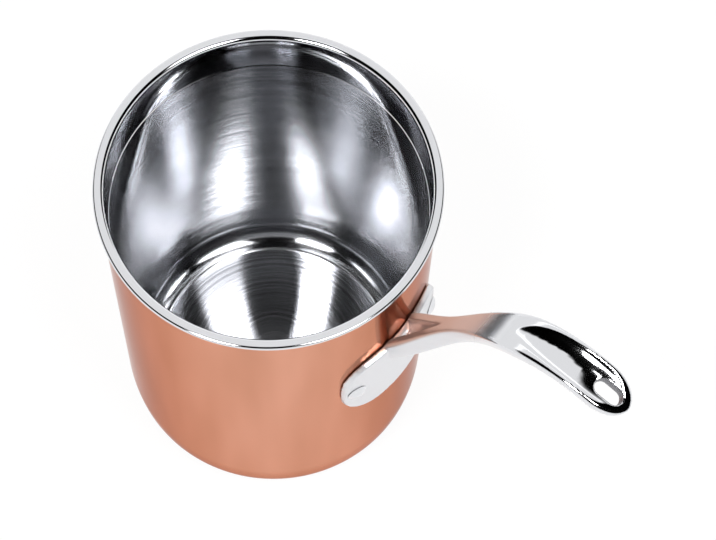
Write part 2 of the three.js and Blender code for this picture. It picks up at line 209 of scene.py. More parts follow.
class PanColours(bpy.types.PropertyGroup):
    """Colours of the finishes and the studio."""

    brushed: colour("Brushed steel", "Lining's wall", "#c9cacd")
    brushed_dark: colour("Brush lines", "Darker lines of the brushing", "#88898d")
    mirror: colour("Mirror steel", "Rim, band, handle and rivets", "#dcdde0")
    copper: colour("Copper", "Outer ply", "#eebba5")
    # Painted reflection: the darker copper of the upright streaks stands in for darker surroundings that
    # the copper mirrors
    copper_painted_reflection: colour("Deep copper", "Warmer streaks in the outer ply", "#deac95")
    copper_edge: colour("Copper edge", "Copper seen along its surface", "#c6a297")
    core: colour("Aluminium", "Hidden middle ply", "#c9cacc")
    raw_cast: colour("Raw casting", "Inside of the hanging eye", "#8d8d91")
    paper: colour("Paper", "Floor of the studio", "#fafafa")
    sky: colour("Sky", "Cove and softboxes of the studio", "#ffffff")


class StageSettings(bpy.types.PropertyGroup):
    """Place and lens of the camera."""

    azimuth: turn("Azimuth", "Camera's direction round the pan", 38)
    elevation: turn("Elevation", "Camera above the horizon", 66)
    distance: length("Distance", "Camera to the rim's middle", 2.4)
    focal: bpy.props.FloatProperty(
        name="Focal length", description="Camera lens", default=266, subtype="DISTANCE_CAMERA")
    aim_right: length("Aim right", "Aim beside the rim's middle", 40.65 * MM)
    aim_down: length("Aim down", "Aim below the rim's middle", 37.66 * MM)


# Helpers for meshes


def select_only(obj):
    """Makes obj the one selected and active object."""
    bpy.ops.object.select_all(action="DESELECT")
    obj.select_set(True)
    bpy.context.view_layer.objects.active = obj


def select_points(obj, test):
    """In edit mode, selects the vertices whose place passes a test."""
    mesh = bmesh.from_edit_mesh(obj.data)
    for vertex in mesh.verts:
        vertex.select_set(test(vertex.co))
    mesh.select_flush_mode()
    bmesh.update_edit_mesh(obj.data)


def weld(obj):
    """Merges doubled points and turns every face outwards."""
    select_only(obj)
    bpy.ops.object.mode_set(mode="EDIT")
    bpy.ops.mesh.select_all(action="SELECT")
    bpy.ops.mesh.remove_doubles(threshold=WELD)
    bpy.ops.mesh.normals_make_consistent(inside=False)
    bpy.ops.object.mode_set(mode="OBJECT")


def turned(name, profile, steps):
    """Draws a profile of (radius, height) points, one edge after another, and spins it about Z."""
    bpy.ops.object.select_all(action="DESELECT")
    bpy.ops.mesh.primitive_plane_add(size=MM)
    obj = bpy.context.object
    obj.name = name
    points = [Vector((radius, 0, height)) for radius, height in profile]
    bpy.ops.object.mode_set(mode="EDIT")
    bpy.ops.mesh.merge(type="CENTER")
    bpy.ops.transform.translate(value=points[0])
    for here, there in zip(points, points[1:]):
        bpy.ops.mesh.extrude_region_move(TRANSFORM_OT_translate={"value": there - here})
    bpy.ops.mesh.select_all(action="SELECT")
    bpy.ops.mesh.spin(steps=steps, angle=math.tau, center=(0, 0, 0), axis=(0, 0, 1))
    bpy.ops.object.mode_set(mode="OBJECT")
    weld(obj)
    return obj


def modify(obj, kind, **settings):
    """Adds a modifier with its settings and applies it."""
    select_only(obj)
    modifier = obj.modifiers.new(kind.lower(), kind)
    for name, value in settings.items():
        setattr(modifier, name, value)
    bpy.ops.object.modifier_apply(modifier=modifier.name)


def combine(obj, operation, tool):
    """Cuts, joins or crosses obj with a tool object, which is then deleted."""
    modify(obj, "BOOLEAN", operation=operation, object=tool, solver="MANIFOLD")
    select_only(tool)
    bpy.ops.object.delete()


def place(obj, matrix):
    """Puts obj at a matrix and keeps that place in its mesh."""
    select_only(obj)
    obj.matrix_world = matrix
    bpy.ops.object.transform_apply(location=True, rotation=True, scale=True)


def keep(obj, node_names, materials):
    """Gives a finished piece its finishes and lets it stand for its CAD nodes."""
    obj.data.name = obj.name
    obj.data.materials.clear()
    for material in materials:
        obj.data.materials.append(material)
    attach(obj, BODY)
    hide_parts(*node_names)


def paint(obj, index, test):
    """Gives the faces whose middle and normal pass a test the finish with that index."""
    for face in obj.data.polygons:
        if test(face.center, face.normal):
            face.material_index = index


# The pot's meridian: flat bottom, corner arc, belly arc and straight wall, at an offset from the inside


def arc(centre, radius, start, end, steps=ARC_STEPS):
    """Points on an arc with both ends; angles run from level-outwards, turning upwards."""
    points = []
    for i in range(steps + 1):
        angle = start + (end - start) * i / steps
        points.append((centre[0] + radius * math.cos(angle), centre[1] + radius * math.sin(angle)))
    return points


def meridian_centres(pot):
    """Centres of the corner arc and the belly arc."""
    corner_end = pot.corner_turn - math.pi / 2
    belly_end = pot.wall_angle - math.pi / 2
    step = pot.belly_radius - pot.corner_radius
    corner_height = pot.wall + pot.corner_radius
    belly_height = corner_height - step * math.sin(corner_end)
    wall_start = belly_height + pot.belly_radius * math.sin(belly_end)
    bore = pot.lip_radius - pot.lip_overhang - pot.wall
    run = (pot.height - wall_start) / math.tan(pot.wall_angle)
    belly_x = bore - run - pot.belly_radius * math.cos(belly_end)
    return (belly_x + step * math.cos(corner_end), corner_height), (belly_x, belly_height)


def wall_radius(pot, offset, height):
    """Radius of the straight wall at a height."""
    belly_end = pot.wall_angle - math.pi / 2
    belly = meridian_centres(pot)[1]
    radius = belly[0] + (pot.belly_radius + offset) * math.cos(belly_end)
    start = belly[1] + (pot.belly_radius + offset) * math.sin(belly_end)
    return radius + (height - start) / math.tan(pot.wall_angle)


def meridian(pot, offset, top):
    """From the axis outwards along the bottom and up the wall to a height."""
    corner, belly = meridian_centres(pot)
    corner_end = pot.corner_turn - math.pi / 2
    belly_end = pot.wall_angle - math.pi / 2
    return [
        (0, pot.wall - offset),
        *arc(corner, pot.corner_radius + offset, -math.pi / 2, corner_end),
        *arc(belly, pot.belly_radius + offset, corner_end, belly_end)[1:],
        (wall_radius(pot, offset, top), top),
    ]


def lining_profile(pot):
    """The lining's section: up its outer face, over the rim, down the band and the brushed wall."""
    underside = pot.height - pot.lip_depth
    band_foot = pot.height - pot.band_depth
    band_radius = wall_radius(pot, 0, band_foot) + pot.band_step
    mouth_radius = wall_radius(pot, 0, pot.height - pot.mouth_round) + pot.band_step
    lip_middle = pot.lip_radius - pot.lip_round
    ring_outer = meridian_centres(pot)[0][0] - pot.ring_inset
    mouth = (mouth_radius + pot.mouth_round, pot.height - pot.mouth_round)
    axis_point, *inside = meridian(pot, 0, band_foot - pot.band_step)
    return [
        *meridian(pot, pot.steel, underside),
        *arc((lip_middle, underside + pot.lip_round), pot.lip_round, -math.pi / 2, 0, ROUND_STEPS),
        *arc((lip_middle, pot.height - pot.lip_round), pot.lip_round, 0, math.pi / 2, ROUND_STEPS),
        *arc(mouth, pot.mouth_round, math.pi / 2, math.pi, ROUND_STEPS),
        (band_radius, band_foot),
        *reversed(inside),
        (ring_outer, pot.wall),
        (ring_outer - pot.ring_width / 2, pot.wall - pot.ring_depth),
        (ring_outer - pot.ring_width, pot.wall),
        axis_point,
    ]


# Rivets and their holes


def flange_middle(pot, handle):
    """Height of the flange's middle above the floor."""
    return pot.height - handle.flange_drop


def rivet_frame(pot, handle, side):
    """The frame on the copper's face whose Z runs out through the wall at one rivet."""
    height = flange_middle(pot, handle)
    radius = wall_radius(pot, pot.wall, height)
    azimuth = side * math.asin(handle.rivet_spacing / 2 / radius)
    around = Matrix.Rotation(azimuth, 4, "Z")
    square_to_wall = Matrix.Rotation(math.pi - pot.wall_angle, 4, "Y")
    return around @ Matrix.Translation((radius, 0, height)) @ square_to_wall


def drill(pot, handle, obj):
    """Cuts both rivet holes through a piece."""
    depth = CUT_THROUGH * (pot.wall + handle.flange_thickness)
    for side in RIVET_SIDES.values():
        bpy.ops.object.select_all(action="DESELECT")
        bpy.ops.mesh.primitive_cylinder_add(
            vertices=RIVET_TURNS, radius=handle.rivet_radius + handle.hole_clearance, depth=depth)
        hole = bpy.context.object
        place(hole, rivet_frame(pot, handle, side))
        combine(obj, "DIFFERENCE", hole)


def dome(foot_radius, foot, height):
    """Points on a low dome from its foot to its crown; a height below 0 points down."""
    way = math.copysign(1, height)
    radius = (foot_radius ** 2 + height ** 2) / (2 * abs(height))
    half = math.asin(foot_radius / radius)
    points = arc((0, foot + height - way * radius), radius, way * (math.pi / 2 - half), way * math.pi / 2)
    return [*points[:-1], (0, foot + height)]


def rivet_profile(pot, handle):
    """A rivet's section, from the crown of its inner head to the crown of its outer head."""
    seat = handle.seat_gap + handle.flange_thickness + handle.head_gap
    bore = wall_radius(pot, 0, flange_middle(pot, handle))
    stand_off = bore - math.sqrt(bore ** 2 - handle.button_radius ** 2)
    inside = -pot.wall - stand_off - handle.head_gap
    return [
        *reversed(dome(handle.button_radius, inside, -handle.button_height)),
        (handle.rivet_radius, inside),
        (handle.rivet_radius, seat),
        *dome(handle.head_radius, seat, handle.head_height),
    ]


# The handle: a straight bar is drawn first, hollowed, and then bent along its spine


def spine_points(pot, handle):
    """Start, two pulls and tip of the curve that the shank follows."""
    height = pot.height - handle.start_drop
    start = Vector((wall_radius(pot, pot.wall, height), 0, height))
    tip = Vector((start.x + handle.reach, 0, pot.height + handle.tip_lift))
    leaving = Vector((math.cos(handle.rise), 0, math.sin(handle.rise)))
    arriving = Vector((math.cos(handle.fall), 0, -math.sin(handle.fall)))
    return start, start + leaving * handle.bend, tip - arriving * handle.bend, tip


def spine_length(points):
    """Length of the shank's curve."""
    samples = interpolate_bezier(*points, SPINE_SAMPLES)
    return sum((there - here).length for here, there in zip(samples, samples[1:]))


def spine_frame(points, distance):
    """The frame on the spine at a distance from the copper: X along it, Z square to the top face."""
    samples = interpolate_bezier(*points, SPINE_SAMPLES)
    gone = 0
    for here, there in zip(samples, samples[1:]):
        step = there - here
        if gone + step.length > distance:
            break
        gone += step.length
    along = step.normalized()
    across = Vector((0, 1, 0))
    turned_to = Matrix((along, across, along.cross(across))).transposed().to_4x4()
    return Matrix.Translation(here + along * (distance - gone)) @ turned_to


def in_eye(handle, points, total):
    """A test for the faces on the wall of the hanging eye."""
    from_frame = spine_frame(points, total - handle.eye_to_tip - handle.eye_length / 2)
    to_frame = from_frame.inverted()
    radius = handle.eye_width / 2
    half = handle.eye_length / 2 - radius
    square_to_palm = from_frame.to_3x3().col[2]

    def test(middle, normal):
        along, across, _ = to_frame @ middle
        reach = math.hypot(max(0, abs(along) - half), across)
        return reach < radius + 2 * VOXEL and abs(normal.dot(square_to_palm)) < EYE_WALL

    return test


def ease(low, high, distance, start, end):
    """Smooth step from one value to another as a distance runs from start to end."""
    share = min(1, max(0, (distance - start) / (end - start)))
    return low + (high - low) * share * share * (3 - 2 * share)


def shank_size(handle, distance, total):
    """Width and thickness of the shank at a distance from the copper."""
    waist = ease(handle.root_width, handle.waist_width, distance, 0, handle.waist_at)
    widening = handle.palm_width - handle.waist_width
    width = waist + ease(0, widening, distance, handle.waist_at, handle.palm_at)
    thickness = ease(handle.root_thickness, handle.palm_thickness, distance, 0, handle.palm_at)
    into_tip = max(0, distance - total + handle.tip_length) / handle.tip_length
    round_off = math.sqrt(max(TIP_FACET, 1 - into_tip ** 2))
    return width * round_off, ease(thickness, handle.tip_thickness, into_tip, 0, 1)


def section_face(name, x, width, height, upper, lower):
    """A face square to X with rounded corners, left in edit mode and selected all over."""
    bpy.ops.object.select_all(action="DESELECT")
    bpy.ops.mesh.primitive_plane_add(size=1, location=(x, 0, 0), rotation=(0, math.pi / 2, 0))
    obj = bpy.context.object
    obj.name = name
    bpy.ops.object.transform_apply(location=True, rotation=True, scale=True)
    bpy.ops.object.mode_set(mode="EDIT")
    bpy.ops.transform.resize(value=(1, width, height), center_override=(x, 0, 0))
    for way, radius in ((1, upper), (-1, lower)):
        select_points(obj, lambda point: way * point.z > height / 2 - WELD)
        bpy.ops.mesh.bevel(offset=radius, segments=ROUND_STEPS, affect="VERTICES")
    bpy.ops.mesh.select_all(action="SELECT")
    return obj


def straight_shank(handle, total):
    """The shank as a straight bar along X, station by station, with its valley, dish and eye."""
    run = total - handle.tip_length + handle.buried
    count = round(run / STATION_STEP)
    body = [-handle.buried + run * i / count for i in range(count + 1)]
    tip = [total - handle.tip_length * (1 - math.sin(math.pi / 2 * i / TIP_STATIONS))
           for i in range(1, TIP_STATIONS + 1)]
    stations = body + tip
    width, thickness = shank_size(handle, stations[0], total)
    bar = section_face("shank", stations[0], width, thickness, handle.upper_round, handle.lower_round)
    for here, there in zip(stations, stations[1:]):
        next_width, next_thickness = shank_size(handle, there, total)
        bpy.ops.mesh.extrude_region_move(TRANSFORM_OT_translate={"value": (there - here, 0, 0)})
        bpy.ops.transform.resize(
            value=(1, next_width / width, next_thickness / thickness), center_override=(there, 0, 0))
        width, thickness = next_width, next_thickness
    bpy.ops.object.mode_set(mode="OBJECT")
    weld(bar)
    combine(bar, "DIFFERENCE", valley_cutter(handle, total))
    combine(bar, "DIFFERENCE", dish_cutter(handle, total))
    combine(bar, "DIFFERENCE", eye_cutter(handle, total))
    return bar


def valley_cutter(handle, total):
    """A lying cone that parts the root into two ridges and runs out along the top face."""
    depth = handle.valley_length + handle.buried
    root_top = handle.root_thickness / 2
    end_top = shank_size(handle, handle.valley_length, total)[1] / 2
    growth = depth / handle.valley_length
    bpy.ops.object.select_all(action="DESELECT")
    bpy.ops.mesh.primitive_cone_add(
        vertices=RIVET_TURNS, radius1=handle.valley_width / 2 * growth, radius2=0, depth=depth,
        location=((handle.valley_length - handle.buried) / 2, 0, root_top), rotation=(0, math.pi / 2, 0),
        scale=(handle.valley_depth / (handle.valley_width / 2), 1, 1))
    cone = bpy.context.object
    bpy.ops.object.transform_apply(location=True, rotation=True, scale=True)
    bpy.ops.object.mode_set(mode="EDIT")
    select_points(cone, lambda point: point.x > handle.valley_length - WELD)
    bpy.ops.transform.translate(value=(0, 0, end_top - root_top))
    bpy.ops.object.mode_set(mode="OBJECT")
    return cone


def dish_cutter(handle, total):
    """A flattened ball, drawn out towards the pot and sunk into the palm."""
    bury = DISH_BALL * handle.dish_depth
    spread = 1 / math.sqrt(1 - ((bury - handle.dish_depth) / bury) ** 2)
    lift = handle.palm_thickness / 2 - handle.dish_depth + bury
    deepest = total - handle.dish_to_tip - handle.dish_end
    bpy.ops.object.select_all(action="DESELECT")
    bpy.ops.mesh.primitive_uv_sphere_add(
        segments=BALL_TURNS, ring_count=BALL_TURNS // 2, radius=1, location=(deepest, 0, lift),
        scale=(handle.dish_end * spread, handle.dish_width / 2 * spread, bury))
    ball = bpy.context.object
    bpy.ops.object.transform_apply(location=True, rotation=True, scale=True)
    bpy.ops.object.mode_set(mode="EDIT")
    select_points(ball, lambda point: point.x < deepest - WELD)
    bpy.ops.transform.resize(
        value=(handle.dish_run_in / handle.dish_end, 1, 1), center_override=(deepest, 0, lift))
    bpy.ops.object.mode_set(mode="OBJECT")
    return ball


def eye_cutter(handle, total):
    """A punch with round ends, drawn from a cylinder by pulling its two halves apart."""
    radius = handle.eye_width / 2
    middle = total - handle.eye_to_tip - handle.eye_length / 2
    bpy.ops.object.select_all(action="DESELECT")
    bpy.ops.mesh.primitive_cylinder_add(
        vertices=RIVET_TURNS, radius=radius, depth=CUT_THROUGH * handle.palm_thickness,
        location=(middle, 0, 0))
    punch = bpy.context.object
    bpy.ops.object.transform_apply(location=True, rotation=True, scale=True)
    bpy.ops.object.mode_set(mode="EDIT")
    for way in (1, -1):
        select_points(punch, lambda point: way * (point.x - middle) > WELD)
        bpy.ops.transform.translate(value=(way * (handle.eye_length / 2 - radius), 0, 0))
    bpy.ops.object.mode_set(mode="OBJECT")
    return punch


def bend(bar, points):
    """Bends a straight bar along the spine."""
    bpy.ops.object.select_all(action="DESELECT")
    bpy.ops.curve.primitive_bezier_curve_add()
    spine = bpy.context.object
    spine.data.twist_mode = "Z_UP"
    spine.data.splines[0].resolution_u = SPINE_SAMPLES
    first, last = spine.data.splines[0].bezier_points
    start, leaving, arriving, tip = points
    for point, place_at, left, right in (
            (first, start, 2 * start - leaving, leaving), (last, tip, arriving, 2 * tip - arriving)):
        point.handle_left_type = "FREE"
        point.handle_right_type = "FREE"
        point.co = place_at
        point.handle_left = left
        point.handle_right = right
    modify(bar, "CURVE", object=spine, deform_axis="POS_X")
    select_only(spine)
    bpy.ops.object.delete()


def flange(pot, handle):
    """The flange: a plate with round ends pushed through a slice of the pot's own cone."""
    middle = flange_middle(pot, handle)
    low = middle - handle.flange_height
    high = middle + handle.flange_height
    near = pot.wall + handle.seat_gap
    far = near + handle.flange_thickness
    corners = ((near, low), (far, low), (far, high), (near, high), (near, low))
    plate = turned("flange", [(wall_radius(pot, face, z), z) for face, z in corners], TURNS)
    outline = section_face(
        "outline", 0, handle.flange_width, handle.flange_height, handle.flange_corner, handle.flange_corner)
    bpy.ops.mesh.extrude_region_move(TRANSFORM_OT_translate={"value": (2 * pot.lip_radius, 0, 0)})
    bpy.ops.object.mode_set(mode="OBJECT")
    weld(outline)
    place(outline, Matrix.Translation((0, 0, middle)))
    combine(plate, "INTERSECT", outline)
    return plate


def pot_plug(pot, handle):
    """The pot as a solid, a seat's gap larger: what the shank is trimmed to."""
    face = pot.wall + handle.seat_gap
    low = flange_middle(pot, handle) - handle.flange_height
    high = pot.height
    profile = [
        (0, low), (wall_radius(pot, face, low), low), (wall_radius(pot, face, high), high), (0, high)]
    return turned("plug", profile, TURNS)


# Materials


def add(tree, kind, inputs=None, **settings):
    """Adds a node, sets its settings, and links or sets its inputs. Gives its outputs."""
    node = tree.nodes.new(kind)
    for name, value in settings.items():
        setattr(node, name, value)
    for name, value in (inputs or {}).items():
        if isinstance(value, bpy.types.NodeSocket):
            tree.links.new(value, node.inputs[name])
        else:
            node.inputs[name].default_value = value
    return node.outputs


def empty_tree(owner):
    """The node tree of a new material or world, with nothing in it."""
    owner.use_nodes = True
    owner.node_tree.nodes.clear()
    return owner.node_tree


def brushed_steel(colours):
    """Brushed stainless steel: fine lines round the pot draw every highlight out up and down the wall."""
    material = bpy.data.materials.new("brushed_stainless_steel")
    tree = empty_tree(material)
    spot = add(tree, "ShaderNodeTexCoord")["Object"]
    # Real brush lines lie about 0.1 mm apart: drawn 1.4 mm apart and 71.4 mm long so that they show.
    run = 1 / (71.4 * MM)
    rows = add(tree, "ShaderNodeMapping", {"Vector": spot, "Scale": (run, run, 1 / (1.4 * MM))})["Vector"]
    grain = add(tree, "ShaderNodeTexNoise", {
        "Vector": rows, "Scale": 1, "Detail": 3, "Roughness": 0.65})["Fac"]
    lines = add(tree, "ShaderNodeMapRange", {"Value": grain, "From Min": 0.2, "From Max": 0.8})["Result"]
    tint = add(tree, "ShaderNodeMix", {0: lines, 6: colours.brushed_dark, 7: colours.brushed},
               data_type="RGBA")[2]
    rough = add(tree, "ShaderNodeMapRange", {"Value": grain, "To Min": 0.1, "To Max": 0.14})["Result"]
    bump = add(tree, "ShaderNodeBump", {
        "Height": grain, "Strength": 0.025, "Distance": 0.05 * MM})["Normal"]
    around = add(tree, "ShaderNodeTangent", direction_type="RADIAL", axis="Z")["Tangent"]
    shader = add(tree, "ShaderNodeBsdfPrincipled", {
        "Base Color": tint, "Metallic": 1, "Roughness": rough, "Normal": bump, "Tangent": around,
        "Anisotropic": 1, "Anisotropic Rotation": 0.25})["BSDF"]
    add(tree, "ShaderNodeOutputMaterial", {"Surface": shader})
    return material


def turned_steel(colours):
    """Turned stainless steel: lathe lines in rings, which spread light in fans across the bottom."""
    material = bpy.data.materials.new("turned_stainless_steel")
    tree = empty_tree(material)
    spot = add(tree, "ShaderNodeTexCoord")["Object"]
    flat = add(tree, "ShaderNodeVectorMath", {0: spot, 1: (1, 1, 0)}, operation="MULTIPLY")["Vector"]
    radius = add(tree, "ShaderNodeVectorMath", {0: flat}, operation="LENGTH")["Value"]
    # Real lathe lines lie about 0.15 mm apart: drawn at 1.4 mm so that they show.
    rings = add(tree, "ShaderNodeTexNoise", {
        "W": radius, "Scale": 1 / (1.4 * MM), "Detail": 3, "Roughness": 0.7}, noise_dimensions="1D")["Fac"]
    lines = add(tree, "ShaderNodeMapRange", {"Value": rings, "From Min": 0.2, "From Max": 0.8})["Result"]
    tint = add(tree, "ShaderNodeMix", {0: lines, 6: colours.brushed_dark, 7: colours.brushed},
               data_type="RGBA")[2]
    rough = add(tree, "ShaderNodeMapRange", {"Value": rings, "To Min": 0.16, "To Max": 0.22})["Result"]
    bump = add(tree, "ShaderNodeBump", {"Height": rings, "Strength": 0.1, "Distance": 0.05 * MM})["Normal"]
    around = add(tree, "ShaderNodeTangent", direction_type="RADIAL", axis="Z")["Tangent"]
    shader = add(tree, "ShaderNodeBsdfPrincipled", {
        "Base Color": tint, "Metallic": 1, "Roughness": rough, "Normal": bump, "Tangent": around,
        "Anisotropic": 0.6, "Anisotropic Rotation": 0.25})["BSDF"]
    add(tree, "ShaderNodeOutputMaterial", {"Surface": shader})
    return material


def mirror_steel(colours):
    """Mirror-polished stainless steel: clear reflections, with faint smears left by the cloth."""
    material = bpy.data.materials.new("mirror_polished_stainless_steel")
    tree = empty_tree(material)
    spot = add(tree, "ShaderNodeTexCoord")["Object"]
    smears = add(tree, "ShaderNodeTexNoise", {"Vector": spot, "Scale": 1 / (12 * MM), "Detail": 4})["Fac"]
    rough = add(tree, "ShaderNodeMapRange", {"Value": smears, "To Min": 0.03, "To Max": 0.07})["Result"]
    shader = add(tree, "ShaderNodeBsdfPrincipled", {
        "Base Color": colours.mirror, "Metallic": 1, "Roughness": rough})["BSDF"]
    add(tree, "ShaderNodeOutputMaterial", {"Surface": shader})
    return material


def polished_copper(colours):
    """Polished and lacquered copper: a warm mirror with soft upright streaks of painted reflection, lighter
    and darker copper standing in for the surroundings it mirrors.
    """
    material = bpy.data.materials.new("polished_lacquered_copper")
    tree = empty_tree(material)
    spot = add(tree, "ShaderNodeTexCoord")["Object"]
    # Painted reflection: the streaks stand in for mirrored surroundings; they are about 30 mm wide and
    # several times as tall, and moved to suit the side in view.
    upright = add(tree, "ShaderNodeMapping", {
        "Vector": spot, "Location": (0, 70 * MM, 0), "Scale": (1, 1, 0.15)})["Vector"]
    streaks = add(tree, "ShaderNodeTexNoise", {
        "Vector": upright, "Scale": 1 / (30 * MM), "Detail": 2})["Fac"]
    painted_reflection_areas = add(tree, "ShaderNodeMapRange", {
        "Value": streaks, "From Min": 0.35, "From Max": 0.65})["Result"]
    # Buffing lines run round the pot about 0.1 mm apart: drawn 0.8 mm apart and 50 mm long, to show.
    run = 1 / (50 * MM)
    rows = add(tree, "ShaderNodeMapping", {"Vector": spot, "Scale": (run, run, 1 / (0.8 * MM))})["Vector"]
    buffing = add(tree, "ShaderNodeTexNoise", {"Vector": rows, "Scale": 1, "Detail": 2})["Fac"]
    # Painted reflection: darker copper in the streaks stands in for darker surroundings mirrored in the
    # wall
    tint = add(tree, "ShaderNodeMix", {0: painted_reflection_areas, 6: colours.copper_painted_reflection, 7: colours.copper},
               data_type="RGBA")[2]
    rough = add(tree, "ShaderNodeMapRange", {"Value": buffing, "To Min": 0.1, "To Max": 0.15})["Result"]
    bump = add(tree, "ShaderNodeBump", {
        "Height": buffing, "Strength": 0.02, "Distance": 0.03 * MM})["Normal"]
    shader = add(tree, "ShaderNodeBsdfPrincipled", {
        "Base Color": tint, "Metallic": 1, "Roughness": rough, "Normal": bump,
        "Specular Tint": colours.copper_edge})["BSDF"]
    add(tree, "ShaderNodeOutputMaterial", {"Surface": shader})
    return material


def polished_casting(colours):
    """Polished cast stainless steel: a mirror that waves a little, as hand-polished castings do."""
    material = bpy.data.materials.new("polished_cast_stainless_steel")
    tree = empty_tree(material)
    spot = add(tree, "ShaderNodeTexCoord")["Object"]
    waves = add(tree, "ShaderNodeTexNoise", {"Vector": spot, "Scale": 1 / (16 * MM), "Detail": 1})["Fac"]
    smears = add(tree, "ShaderNodeTexNoise", {"Vector": spot, "Scale": 1 / (6 * MM), "Detail": 4})["Fac"]
    polish = add(tree, "ShaderNodeMapRange", {"Value": smears, "To Min": 0.04, "To Max": 0.1})["Result"]
    # The wheel reaches the palm but not the neck beside the pot, which keeps a satin face.
    along = add(tree, "ShaderNodeSeparateXYZ", {"Vector": spot})["X"]
    satin = add(tree, "ShaderNodeMapRange", {
        "Value": along, "From Min": SATIN_END, "From Max": POLISH_START,
        "To Min": 0.4, "To Max": 0})["Result"]
    rough = add(tree, "ShaderNodeMath", {0: polish, 1: satin}, operation="MAXIMUM")["Value"]
    bump = add(tree, "ShaderNodeBump", {"Height": waves, "Strength": 0.3, "Distance": 0.3 * MM})["Normal"]
    shader = add(tree, "ShaderNodeBsdfPrincipled", {
        "Base Color": colours.mirror, "Metallic": 1, "Roughness": rough, "Normal": bump})["BSDF"]
    add(tree, "ShaderNodeOutputMaterial", {"Surface": shader})
    return material


def raw_casting(colours):
    """Blasted casting that no wheel reached: a grainy matt grey inside the hanging eye."""
    material = bpy.data.materials.new("blasted_cast_stainless_steel")
    tree = empty_tree(material)
    spot = add(tree, "ShaderNodeTexCoord")["Object"]
    grain = add(tree, "ShaderNodeTexNoise", {"Vector": spot, "Scale": 1 / (0.6 * MM), "Detail": 3})["Fac"]
    rough = add(tree, "ShaderNodeMapRange", {"Value": grain, "To Min": 0.45, "To Max": 0.65})["Result"]
    bump = add(tree, "ShaderNodeBump", {"Height": grain, "Strength": 0.4, "Distance": 0.1 * MM})["Normal"]
    shader = add(tree, "ShaderNodeBsdfPrincipled", {
        "Base Color": colours.raw_cast, "Metallic": 1, "Roughness": rough, "Normal": bump})["BSDF"]
    add(tree, "ShaderNodeOutputMaterial", {"Surface": shader})
    return material


def rolled_aluminium(colours):
    """Rolled aluminium: the dull grey ply between the lining and the copper, with faint rolling lines."""
    material = bpy.data.materials.new("rolled_aluminium")
    tree = empty_tree(material)
    spot = add(tree, "ShaderNodeTexCoord")["Object"]
    # Rolling lines run straight across the sheet, 0.5 mm apart and 50 mm long.
    run = 1 / (50 * MM)
    rows = add(tree, "ShaderNodeMapping", {"Vector": spot, "Scale": (1 / (0.5 * MM), run, run)})["Vector"]
    grain = add(tree, "ShaderNodeTexNoise", {"Vector": rows, "Scale": 1, "Detail": 2})["Fac"]
    rough = add(tree, "ShaderNodeMapRange", {"Value": grain, "To Min": 0.35, "To Max": 0.5})["Result"]
    shader = add(tree, "ShaderNodeBsdfPrincipled", {
        "Base Color": colours.core, "Metallic": 1, "Roughness": rough})["BSDF"]
    add(tree, "ShaderNodeOutputMaterial", {"Surface": shader})
    return material


def studio_paper(colours):
    """Matt white paper: nearly all white to the camera and to metal, and it keeps a soft shadow."""
    material = bpy.data.materials.new("matt_white_paper")
    tree = empty_tree(material)
    light_path = add(tree, "ShaderNodeLightPath")
    direct = add(tree, "ShaderNodeMath", {
        0: light_path["Is Camera Ray"], 1: light_path["Is Transmission Ray"]}, operation="MAXIMUM")["Value"]
    direct = add(tree, "ShaderNodeMath", {0: direct, 1: PAPER_GLOW}, operation="MULTIPLY")["Value"]
    mirrored = add(tree, "ShaderNodeMath", {0: light_path["Is Glossy Ray"], 1: PAPER_MIRRORED},
                   operation="MULTIPLY")["Value"]
    share = add(tree, "ShaderNodeMath", {0: direct, 1: mirrored}, operation="MAXIMUM")["Value"]
    matt = add(tree, "ShaderNodeBsdfDiffuse", {"Color": colours.paper})["BSDF"]
    glow = add(tree, "ShaderNodeEmission", {"Color": colours.sky, "Strength": 1})["Emission"]
    mixed = add(tree, "ShaderNodeMixShader", {0: share, 1: matt, 2: glow})["Shader"]
    add(tree, "ShaderNodeOutputMaterial", {"Surface": mixed})
    return material


# Operators: one for each piece or pair of like pieces, and one for the stage


class PAN_OT_steel_lining(bpy.types.Operator):
    """Turn the steel lining with its rim, polished band, brushed wall and ringed bottom"""

    bl_idname = "pan.steel_lining"
    bl_label = "Steel Lining"

    def execute(self, context):
        pot = context.scene.pan_pot
        colours = context.scene.pan_colours
        lining = turned("lining", lining_profile(pot), TURNS)
        drill(pot, context.scene.pan_handle, lining)
        keep(lining, ["steel_lining"],
             [brushed_steel(colours), mirror_steel(colours), turned_steel(colours)])
        band_foot = pot.height - pot.band_depth - pot.band_step
        flat_radius = meridian_centres(pot)[0][0]
        paint(lining, 1, lambda middle, normal: middle.z > band_foot)
        bottom = pot.wall + WELD
        paint(lining, 2, lambda middle, normal: middle.z < bottom and middle.xy.length < flat_radius)
        select_only(lining)
        bpy.ops.object.shade_smooth_by_angle(angle=CREASE_ANGLE)
        return {"FINISHED"}


class PAN_OT_aluminium_core(bpy.types.Operator):
    """Finish the aluminium ply between the lining and the copper"""

    bl_idname = "pan.aluminium_core"
    bl_label = "Aluminium Core"

    def execute(self, context):
        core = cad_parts["aluminium_core"]
        core.data.materials.clear()
        core.data.materials.append(rolled_aluminium(context.scene.pan_colours))
        return {"FINISHED"}


class PAN_OT_copper_shell(bpy.types.Operator):
    """Turn the copper ply up to the underside of the rim"""

    bl_idname = "pan.copper_shell"
    bl_label = "Copper Shell"

    def execute(self, context):
        pot = context.scene.pan_pot
        top = pot.height - pot.lip_depth - pot.bond
        profile = [*meridian(pot, pot.wall, top), *reversed(meridian(pot, pot.wall - pot.copper, top))]
        shell = turned("copper", profile, TURNS)
        drill(pot, context.scene.pan_handle, shell)
        keep(shell, ["copper_shell"], [polished_copper(context.scene.pan_colours)])
        select_only(shell)
        bpy.ops.object.shade_smooth_by_angle(angle=CREASE_ANGLE)
        return {"FINISHED"}


